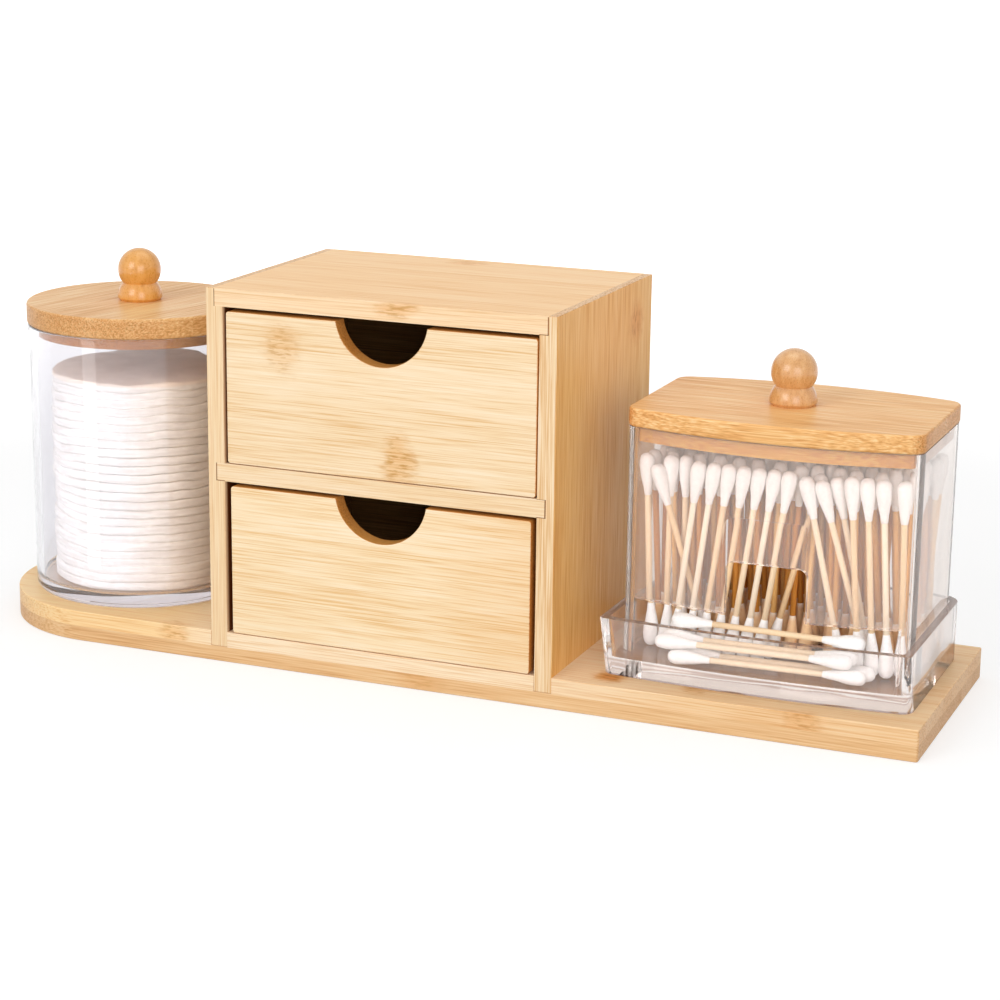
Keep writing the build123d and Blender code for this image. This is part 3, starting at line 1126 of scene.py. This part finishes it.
@dataclass
class Lids:
    """The two bamboo lids with their plugs, knobs and screws; places are in mm."""

    # The plugs below the lids, seen through the clear walls, get a painted shade where the lids
    # keep light off them.
    jar_plug_painted_shade: Tinge = Tinge((JAR_X, 0.0, 117.5), (43.0, 43.0, 3.5), "CDB07E")
    swab_plug_painted_shade: Tinge = Tinge((HOLDER_X, 4.0, 100.0), (54.0, 40.0, 3.8), "D9C98C")
    jar_knob: TurnedWood = TurnedWood("turned_wood_warm", ("C98838", "DF9F4C", "EBB268"), 0.15)
    swab_knob: TurnedWood = TurnedWood(
        "turned_wood_speckled", ("C28A50", "D8A369", "E7BB86"), 0.55
    )
    roughness: float = 0.38

    def build(self, frame: dict[str, Any], finishes: Finishes) -> None:
        """Dresses the lids, knobs and screws.

        Args:
            finishes: the materials.
        """
        jar = Bamboo(
            "bamboo_jar_lid", Grain.SLANTED, **tones("F3D09A", "E7B377", "D09759"),
            strip=16.0, shift=20.0, streaks=1.5, end_dots=0.9, roughness=self.roughness,
            tinges=(self.jar_plug_painted_shade,),
        )
        swab = Bamboo(
            "bamboo_swab_lid", Grain.ALONG, **tones("F9D59E", "F1B977", "D89A5A"),
            strip=13.0, shift=21.0, streaks=1.5, end_dots=1.0, roughness=self.roughness,
            tinges=(self.swab_plug_painted_shade,),
        )
        steel = finishes.steel(Steel())
        for side, lid, knob in (("jar", jar, self.jar_knob), ("swab", swab, self.swab_knob)):
            dress(frame, f"{side}_lid", finishes.bamboo(lid))
            dress(frame, f"{side}_knob", finishes.turned_wood(knob))
            dress(frame, f"{side}_knob_screw", steel)


@dataclass
class CottonPads:
    """The stack of round cotton pads in the jar."""

    middle_x: float = JAR_X * MM
    foot_z: float = 17.4 * MM
    radius: float = 36.2 * MM
    thickness: float = 3.4 * MM
    count: int = 25
    around: int = 96
    edge_segments: int = 4
    pressed: float = 0.995
    stray: float = 0.6 * MM
    seed: int = 7
    rim: float = 1.1 * MM
    groove: float = 0.62
    cap_steps: tuple[float, ...] = (2.5, 7.0, 12.0)
    # Waves of a pad's edge, each by its turns about the stack and its step from pad to pad
    slow: Pair = (1.3, 0.08)
    quick: Pair = (5.0, 0.2)
    fuzz: Pair = (26.0, 3.1)
    own: Pair = (2.2, 2.3)
    own_start: float = 40.0
    fuzz_rise: float = 900.0
    # How far the waves push a point out, by own, quick and fuzz, and up, by slow, quick and fuzz
    out_share: Triple = (0.55, 0.4, 0.25)
    up_share: Triple = (0.9, 0.35, 0.1)
    flat_pads: float = 5.0
    light: str = "FAF8F5"
    dark: str = "EEE9E4"
    lump: float = 2.2 * MM
    fibre: float = 0.35 * MM
    ridges: float = 1.35
    # A warmer tone on the side next to the cabinet: a painted reflection of the warm light that the
    # bamboo throws back.
    warm: Tinge = Tinge((-100.0, 0.0, 60.0), (6.0, 60.0, 60.0), "FFEDD2", 28.0)
    # A darker tone on the top pad: a painted shade under the lid.
    top: Tinge = Tinge((JAR_X, 0.0, 104.0), (50.0, 50.0, 2.8), "FFF3E8", 1.0)

    def _pattern(self) -> bpy.types.Mesh:
        """Makes one flat pad: a disc with a rounded rim and rings on its faces.

        Returns:
            The pad's mesh, around the origin.
        """
        bm = bmesh.new()
        bmesh.ops.create_cone(
            bm, cap_ends=True, cap_tris=False, segments=self.around,
            radius1=self.radius, radius2=self.radius, depth=self.thickness * self.pressed,
        )
        rims = [e for e in bm.edges if abs(e.verts[0].co.z - e.verts[1].co.z) < TINY]
        bmesh.ops.bevel(
            bm, geom=rims, offset=self.rim, offset_type="OFFSET", affect="EDGES",
            segments=self.edge_segments, profile=0.5, material=-1,
        )
        for vert in bm.verts:
            out = vert.co.to_2d().length
            vert.co.xy *= (self.radius - (self.radius - out) * self.groove) / out
        caps = [f for f in bm.faces if len(f.verts) == self.around]
        for step in self.cap_steps:
            bm.normal_update()
            bmesh.ops.inset_region(bm, faces=caps, thickness=step * MM, use_even_offset=True)
        mesh = bpy.data.meshes.new("pad_pattern")
        bm.to_mesh(mesh)
        bm.free()
        return mesh

    def _soften(self, verts: list[bmesh.types.BMVert], index: int) -> None:
        """Moves a pad's points a little, as pressed cotton is never quite round or flat.

        Args:
            verts: the pad's points, around the origin.
            index: its place in the stack, from below.
        """
        wavy = min(1.0, index / self.flat_pads)
        for vert in verts:
            out = math.hypot(vert.co.x, vert.co.y)
            if out < TINY:
                continue
            x, y = vert.co.x / out, vert.co.y / out
            rim = min(1.0, out / self.radius) ** 3
            waves = (self.slow, self.quick, self.fuzz, self.own)
            levels = (0.0, 0.0, vert.co.z * self.fuzz_rise, self.own_start)
            slow, quick, fuzz, own = (
                noise.noise(Vector((x * turns, y * turns, index * step + level)))
                for (turns, step), level in zip(waves, levels)
            )
            far, near, fine = self.out_share
            vert.co += Vector((x, y, 0.0)) * rim * MM * (far * own + near * quick + fine * fuzz)
            far, near, fine = self.up_share
            lift = (far + far * wavy) * slow + (near + near * wavy) * quick + fine * fuzz
            vert.co.z += MM * rim * lift

    def build(self, finishes: Finishes) -> None:
        """Builds the stack.

        Args:
            finishes: the materials.
        """
        draw = random.Random(self.seed)
        pattern = self._pattern()
        bm = bmesh.new()
        for index in range(self.count):
            start = len(bm.verts)
            bm.from_mesh(pattern)
            bm.verts.ensure_lookup_table()
            fresh = bm.verts[start:]
            self._soften(fresh, index)
            shift = Vector((draw.uniform(-1, 1), draw.uniform(-1, 1), 0.0)) * self.stray
            height = self.foot_z + (index + 0.5) * self.thickness
            bmesh.ops.translate(bm, verts=fresh, vec=Vector((self.middle_x, 0.0, height)) + shift)
        # The pads take the painted warm reflection and the painted shade under the lid.
        look = Cotton(
            "pad_cotton", self.light, self.dark, self.lump, self.fibre, self.ridges,
            (self.warm, self.top),
        )
        piece = piece_from(bm, "cotton_pad_stack", finishes.cotton(look))
        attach(piece, "jar")
        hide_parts("cotton_pads")


@dataclass(frozen=True)
class Placement:
    """Where one swab goes: its foot and its top, on the swab's axis."""

    foot: Vector
    top: Vector

    def matrix(self) -> Matrix:
        """Carries an upright swab on the origin to its place."""
        turn = Vector((0, 0, 1)).rotation_difference(self.top - self.foot).to_matrix().to_4x4()
        return Matrix.Translation(self.foot) @ turn


@dataclass
class Swabs:
    """Cotton swabs: two tips on a stick, standing in the box and lying in the trough."""

    middle_x: float = HOLDER_X * MM
    front_y: float = -20.6 * MM
    foot_z: float = 19.4 * MM
    length: float = 73.5 * MM
    stick: float = 1.15 * MM
    reach: float = 49.2 * MM
    deep: float = 49.5 * MM
    tip_gap: float = 5.45 * MM
    stick_gap: float = 2.55 * MM
    count: int = 119
    seed: int = 11
    # The rows behind the front one and how far a swab may stray, along and into the box, in mm
    rows: int = 8
    columns: int = 13
    column_shift: Pair = (0.25, 0.5)
    first_row: float = 9.6
    row_step: float = 5.65
    attempts: int = 160
    top_stray: Pair = (1.3, 1.0)
    foot_stray: Pair = (2.6, 1.0)
    bud: tuple[tuple[float, float], ...] = (
        (0.0, 0.0), (1.4, 0.28), (2.35, 1.15), (2.8, 2.7), (2.84, 4.7),
        (2.58, 7.4), (2.1, 10.3), (1.62, 13.2), (1.27, 15.7), (1.1, 15.9),
    )
    plain_bud: tuple[tuple[float, float], ...] = (
        (0.0, 0.0), (1.95, 0.7), (2.78, 2.7), (2.6, 6.9), (1.85, 11.3), (1.18, 15.6),
    )
    # Each front swab: its top and foot along the box, and how far back each stands, in mm
    front: tuple[tuple[float, float, float, float], ...] = (
        (-49.1, -46.0, 2.8, 2.8), (-44.6, -23.3, 0.0, 5.2), (-40.0, -40.4, 3.6, 3.6),
        (-34.8, -35.0, 5.3, 5.6), (-28.0, -36.6, 0.0, 0.0), (-22.3, -31.1, 0.0, 0.3),
        (-16.6, -25.6, 0.3, 0.0), (-10.8, -20.1, 0.0, 0.3), (-5.1, -14.7, 0.2, 0.0),
        (0.6, -9.3, 0.0, 0.2), (6.2, -3.9, 0.2, 0.0), (16.2, -1.2, 6.2, 5.2),
        (11.7, 28.6, 0.0, 0.0), (17.3, 37.2, 0.0, 5.2), (22.3, 36.4, 3.0, 10.7),
        (28.6, 34.1, 0.0, 0.0), (34.3, 39.5, 0.2, 0.2), (40.2, 44.9, 0.0, 0.2),
        (47.8, 49.1, 0.4, 3.4),
    )
    # Each lying swab: its shift along and across the trough in mm, layer, and turn in degrees
    lying: tuple[tuple[float, float, int, float], ...] = (
        (3.7, 0.9, 0, 2.3), (5.7, 6.9, 0, 2.3), (-1.3, 0.3, 1, 2.0),
        (-0.7, 6.3, 1, 1.0), (1.6, 7.2, 2, -1.2),
    )
    trough_y: float = -35.15 * MM
    layer: float = 5.4 * MM
    tip_rest: float = 2.75 * MM
    # How deep a stick goes into its tips, in mm, and the steps around a tip and around a stick
    sunk: float = 2.0
    near_steps: tuple[int, int] = (14, 10)
    far_steps: tuple[int, int] = (9, 7)
    lumpy: float = 0.1
    lump_waves: float = 260.0
    lump_range: float = 90.0
    # A warm painted shade on the lower tips, deep in the box.
    shaded_feet: Tinge = Tinge((HOLDER_X, 10.0, 25.0), (60.0, 60.0, 8.0), "F6D2A6", 3.0)

    def _apart(self, top: Vector, foot: Vector, others: list[tuple[Vector, Vector]]) -> bool:
        """True if a swab clears the others: its tips at both ends, its stick between them.

        Args:
            top: its top, seen from above.
            foot: its foot, seen from above.
            others: the tops and feet that are already placed.

        Returns:
            Whether it is clear.
        """
        for other_top, other_foot in others:
            high = top - other_top
            low = foot - other_foot
            if high.length < self.tip_gap or low.length < self.tip_gap:
                return False
            run = low - high
            share = 0.0
            if run.length_squared > 0:
                share = max(0.0, min(1.0, -high.dot(run) / run.length_squared))
            if (high + run * share).length < self.stick_gap:
                return False
        return True

    @staticmethod
    def _strayed(draw: random.Random, x: float, y: float, stray: Pair) -> Vector:
        """A place near a given one, by a random draw along the box and then one into it."""
        return Vector((x + draw.gauss(0, stray[0]) * MM, y + draw.gauss(0, stray[1]) * MM))

    def _standing(self) -> tuple[list[Placement], list[Placement]]:
        """Places the standing swabs: the front ones as listed, the others as they settle.

        Returns:
            The front swabs' places and the others'.
        """
        draw = random.Random(self.seed)
        placed = [(Vector((t, dt)) * MM, Vector((f, df)) * MM) for t, f, dt, df in self.front]
        shown = len(placed)
        start, stagger = self.column_shift
        for site in range(self.rows * self.columns):
            row, column = divmod(site, self.columns)
            across = 2 * (column + start + stagger * (row % 2)) / self.columns - 1
            slot_x, slot_y = self.reach * across, (self.first_row + row * self.row_step) * MM
            for _ in range(self.attempts):
                top = self._strayed(draw, slot_x, slot_y, self.top_stray)
                foot = self._strayed(draw, slot_x, slot_y, self.foot_stray)
                wide = max(abs(top.x), abs(foot.x)) <= self.reach
                if wide and max(top.y, foot.y) <= self.deep and self._apart(top, foot, placed):
                    placed.append((top, foot))
                    break
            if len(placed) == self.count:
                break
        log.info("placed %d standing swabs", len(placed))
        made = []
        for top, foot in placed:
            lean = (top - foot).length
            rise = math.sqrt(self.length**2 - lean**2)
            base = Vector((self.middle_x + foot.x, self.front_y + foot.y, self.foot_z))
            made.append(Placement(base, base + Vector((top.x - foot.x, top.y - foot.y, rise))))
        return made[:shown], made[shown:]

    def _lying(self) -> list[Placement]:
        """Places the swabs in the trough, in layers.

        Returns:
            Their places.
        """
        made = []
        for shift, distance, layer, turn in self.lying:
            way = Vector((math.cos(math.radians(turn)), math.sin(math.radians(turn)), 0.0))
            middle = Vector((
                self.middle_x + shift * MM, self.trough_y + distance * MM,
                self.foot_z + self.tip_rest + layer * self.layer,
            ))
            made.append(Placement(middle - way * self.length / 2, middle + way * self.length / 2))
        return made

    @staticmethod
    def _spun(profile: Sequence[tuple[float, float]], steps: int) -> bpy.types.Mesh:
        """A turned mesh.

        Args:
            profile: radius and height of each point, in mm.
            steps: how many faces go around.

        Returns:
            The mesh.
        """
        bm = bmesh.new()
        line = [bm.verts.new((r * MM, 0.0, z * MM)) for r, z in profile]
        edges = [bm.edges.new(pair) for pair in zip(line, line[1:])]
        bmesh.ops.spin(
            bm, geom=line + edges, cent=(0, 0, 0), axis=(0, 0, 1), dvec=(0, 0, 0),
            angle=2 * math.pi, steps=steps, use_merge=True, use_duplicate=False,
        )
        bmesh.ops.remove_doubles(bm, verts=bm.verts, dist=TINY)
        bmesh.ops.recalc_face_normals(bm, faces=bm.faces)
        mesh = bpy.data.meshes.new("pattern")
        bm.to_mesh(mesh)
        bm.free()
        return mesh

    def _gather(
        self, name: str, places: list[Placement], pattern: bpy.types.Mesh, ends: bool,
        material: bpy.types.Material,
    ) -> bpy.types.Object:
        """Copies a pattern to each place, once or at both ends.

        Args:
            name: the piece's name.
            places: where each swab goes.
            pattern: the mesh of one stick or one tip.
            ends: True for tips, which go on both ends and are lumpy.
            material: the material.

        Returns:
            The joined piece.
        """
        draw = random.Random(self.seed + len(places))
        bm = bmesh.new()
        tone = bm.verts.layers.float.new("stick_tone")
        flip = Matrix.Translation((0, 0, self.length)) @ Matrix.Rotation(math.pi, 4, "X")
        for place in places:
            for local in (Matrix.Identity(4), flip) if ends else (Matrix.Identity(4),):
                start = len(bm.verts)
                bm.from_mesh(pattern)
                bm.verts.ensure_lookup_table()
                fresh = bm.verts[start:]
                own = draw.random()
                spin = Matrix.Rotation(draw.uniform(0, 2 * math.pi), 4, "Z")
                for vert in fresh:
                    vert[tone] = own
                    if ends:
                        spot = vert.co * self.lump_waves + Vector((own * self.lump_range, 0.0, 0.0))
                        swell = noise.noise(spot)
                        vert.co += Vector((vert.co.x, vert.co.y, 0.0)) * swell * self.lumpy
                bmesh.ops.transform(bm, matrix=place.matrix() @ local @ spin, verts=fresh)
        return piece_from(bm, name, material)

    def build(self, finishes: Finishes) -> None:
        """Builds the standing and the lying swabs.

        Args:
            finishes: the materials.
        """
        front, behind = self._standing()
        thick, low, high = self.stick / MM, self.sunk, self.length / MM - self.sunk
        bar = ((0.0, low), (thick, low), (thick, high), (0.0, high))
        near = self._spun(self.bud, self.near_steps[0]), self._spun(bar, self.near_steps[1])
        far = self._spun(self.plain_bud, self.far_steps[0]), self._spun(bar, self.far_steps[1])
        tip = finishes.cotton(Cotton("tip_cotton", "FFFEFD", "F4F1EF", 0.0011, 0.00022))
        rear_tip = finishes.cotton(
            Cotton(
                "rear_tip_cotton", "FFFEFD", "F8F0EA", 0.0011, 0.00022, tinges=(self.shaded_feet,)
            )
        )
        # The sticks behind the front row take deeper tones: a painted shade of the box's inside.
        pale, cream, deep = (
            finishes.stick(SwabStick(f"swab_stick_{shade}", codes))
            for shade, codes in (
                ("pale", ("EBC99A", "F5DBB6", "FBECD4")),
                ("cream", ("F0D3AC", "FAE5C8", "FEF2E0")),
                ("deep", ("CF8530", "E8A54C", "F5C47C")),
            )
        )
        for name, places, (bud, rod), wood, fluff, stands_for in (
            ("front_swab", front, near, pale, tip, "standing_swab"),
            ("rear_swab", behind, far, deep, rear_tip, "standing_swab"),
            ("loose_swab", self._lying(), near, cream, tip, "tray_swab"),
        ):
            sticks = self._gather(f"{name}_sticks", places, rod, False, wood)
            tips = self._gather(f"{name}_tips", places, bud, True, fluff)
            for piece, part, slot in ((sticks, "sticks", Slot.STICK), (tips, "tips", Slot.COTTON)):
                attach(piece, "swab_holder")
                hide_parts(f"{stands_for}_{part}")


@dataclass
class ClearWare:
    """The jar, the swab box and its tray, in clear acrylic; places are in mm."""

    jar: Acrylic = Acrylic(
        "jar_acrylic", "F4F3F6", 0.955,
        # A darker band in the thick base: a painted shade.
        (Tinge((JAR_X, 0.0, 14.5), (46.0, 46.0, 2.5), "F2EBEC"),),
    )
    tray: Acrylic = Acrylic(
        "tray_acrylic", "FDF9F7", 0.965,
        # Darker bands in the thick base: a painted shade, with a painted contact shadow in the dark
        # line along the foot.
        (
            Tinge((HOLDER_X, 0.0, 15.5), (62.0, 52.0, 3.4), "F8EEE8"),
            Tinge((HOLDER_X, 0.0, 12.3), (62.0, 52.0, 0.35), "A89DA4", 0.3),
            Tinge((HOLDER_X, 0.0, 18.4), (62.0, 52.0, 0.2), "C4B2AC", 0.4),
        ),
    )
    box: Acrylic = Acrylic("box_acrylic", "FCF6F2", 0.925)

    def build(self, frame: dict[str, Any], finishes: Finishes) -> None:
        """Dresses the clear nodes.

        Args:
            finishes: the materials.
        """
        for node, look in (("jar", self.jar), ("swab_tray", self.tray), ("swab_box", self.box)):
            dress(frame, node, finishes.acrylic(look))


@dataclass(frozen=True)
class Lamp:
    """A square lamp: its place and side in metres, and its power in watts."""

    name: str
    place: Triple
    side: float
    power: float


@dataclass
class Studio:
    """A white floor and backdrop, soft lamps and the camera; lengths are metres."""

    eye: Triple = (0.37487, -0.88427, 0.31106)
    right: Triple = (0.92491, 0.37995, 0.01239)
    up: Triple = (-0.10665, 0.22807, 0.96779)
    ahead: Triple = (-0.36489, 0.89644, -0.25147)
    lens: float = 91.6
    sensor: float = 36.0
    far_clip: float = 50.0
    sky: float = 0.62
    floor_half: float = 6.0
    floor_drop: float = 0.05 * MM
    floor_shade: float = 0.5
    floor_glow: float = 0.55
    glow_span: Pair = (0.35, 0.9)
    card_place: Triple = (-0.1835, -0.1348, 0.055)
    card_facing: Triple = (0.43, 0.9, 0.0)
    card_size: Pair = (0.032, 0.11)
    card_glow: float = 4.0
    lamps: tuple[Lamp, ...] = (
        Lamp("key", (-0.6, -1.55, 0.85), 0.9, 10.2),
        Lamp("top", (0.1, 0.1, 1.6), 1.2, 3.8),
        Lamp("fill", (0.9, -1.35, 0.5), 0.9, 8.0),
    )
    lamp_aim: Triple = (0.0, 0.0, 0.06)
    bounces: int = 24
    mirror_bounces: int = 16

    def _camera(self) -> None:
        """The camera at the photograph's viewpoint."""
        data = bpy.data.cameras.new("camera")
        data.lens = self.lens
        data.sensor_width = self.sensor
        data.clip_end = self.far_clip
        camera = bpy.data.objects.new("camera", data)
        axes = Matrix((self.right, self.up, tuple(-c for c in self.ahead))).transposed()
        camera.matrix_world = Matrix.Translation(self.eye) @ axes.to_4x4()
        bpy.context.scene.collection.objects.link(camera)
        bpy.context.scene.camera = camera

    @staticmethod
    def _seen(g: Graph) -> Socket:
        """Tells which rays show the background: from the camera, a reflection or glass.

        Args:
            g: the graph of a material or of the world.

        Returns:
            1 for such rays, 0 for others.
        """
        paths = g.node("LightPath").outputs
        both = g.math("MAXIMUM", paths["Is Camera Ray"], paths["Is Glossy Ray"])
        return g.math("MAXIMUM", both, paths["Is Transmission Ray"])

    @staticmethod
    def _glowing(name: str) -> tuple[bpy.types.Material, bpy.types.Node]:
        """Makes a material with white emission.

        Args:
            name: its name.

        Returns:
            The material and its Principled shader.
        """
        material = bpy.data.materials.new(name)
        material.use_nodes = True
        shader = material.node_tree.nodes["Principled BSDF"]
        shader.inputs["Emission Color"].default_value = WHITE
        return material, shader

    def _floor(self) -> None:
        """A white floor that keeps the object's shadow."""
        bm = bmesh.new()
        bmesh.ops.create_grid(bm, x_segments=1, y_segments=1, size=self.floor_half)
        bmesh.ops.translate(bm, verts=bm.verts, vec=(0, 0, -self.floor_drop))
        material, shader = self._glowing("studio_floor")
        g = Graph(material.node_tree)
        shade = self.floor_shade
        shader.inputs["Base Color"].default_value = (shade, shade, shade, 1)
        shader.inputs["Roughness"].default_value = 1.0
        shader.inputs["Specular IOR Level"].default_value = 0.0
        away = g.vector("LENGTH", g.place(), out="Value")
        glow = g.span(away, *self.glow_span, to=(self.floor_glow, 1.0))
        g.feed(shader.inputs["Emission Strength"], g.math("MULTIPLY", self._seen(g), glow))
        piece_from(bm, "studio_floor", material)

    def _card(self) -> None:
        """A bright card that shows only as the upright band it throws on the round jar."""
        bm = bmesh.new()
        bmesh.ops.create_grid(bm, x_segments=1, y_segments=1, size=0.5)
        aim = Vector(self.card_facing).to_track_quat("Z", "Y").to_matrix().to_4x4()
        spread = Matrix.Diagonal((*self.card_size, 1.0, 1.0))
        place = Matrix.Translation(self.card_place)
        bmesh.ops.transform(bm, matrix=place @ aim @ spread, verts=bm.verts)
        material, shader = self._glowing("studio_card")
        shader.inputs["Base Color"].default_value = BLACK
        shader.inputs["Emission Strength"].default_value = self.card_glow
        card = piece_from(bm, "studio_card", material)
        card.visible_camera = card.visible_diffuse = False
        card.visible_transmission = card.visible_shadow = False

    def _world(self) -> None:
        """A white world that lights the object plainly."""
        world = bpy.data.worlds.new("studio")
        world.use_nodes = True
        bpy.context.scene.world = world
        g = Graph(world.node_tree)
        level = g.math("ADD", g.math("MULTIPLY", self._seen(g), 1.0 - self.sky), self.sky)
        backdrop = world.node_tree.nodes["Background"]
        backdrop.inputs["Color"].default_value = WHITE
        g.feed(backdrop.inputs["Strength"], level)

    def _light(self, lamp: Lamp) -> None:
        """Sets up a lamp, aimed at the middle of the organizer.

        Args:
            lamp: its place, side and power.
        """
        data = bpy.data.lights.new(lamp.name, "AREA")
        data.size = lamp.side
        data.energy = lamp.power
        made = bpy.data.objects.new(lamp.name, data)
        made.location = lamp.place
        aim = Vector(self.lamp_aim) - Vector(lamp.place)
        made.rotation_euler = aim.to_track_quat("-Z", "Y").to_euler()
        bpy.context.scene.collection.objects.link(made)

    def build(self) -> None:
        """Sets up the floor, the world, the lamps and the camera."""
        self._floor()
        self._world()
        for lamp in self.lamps:
            self._light(lamp)
        self._card()
        scene = bpy.context.scene
        scene.view_settings.view_transform = "Standard"
        scene.cycles.max_bounces = self.bounces
        scene.cycles.glossy_bounces = self.mirror_bounces
        scene.cycles.transmission_bounces = self.bounces
        self._camera()


def main() -> None:
    """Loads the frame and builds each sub-assembly."""
    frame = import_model()
    Studio().build()
    finishes = Finishes(Effects())
    Cabinet().build(frame, finishes)
    Lids().build(frame, finishes)
    ClearWare().build(frame, finishes)
    CottonPads().build(finishes)
    Swabs().build(finishes)


if __name__ == "__main__":
    main()
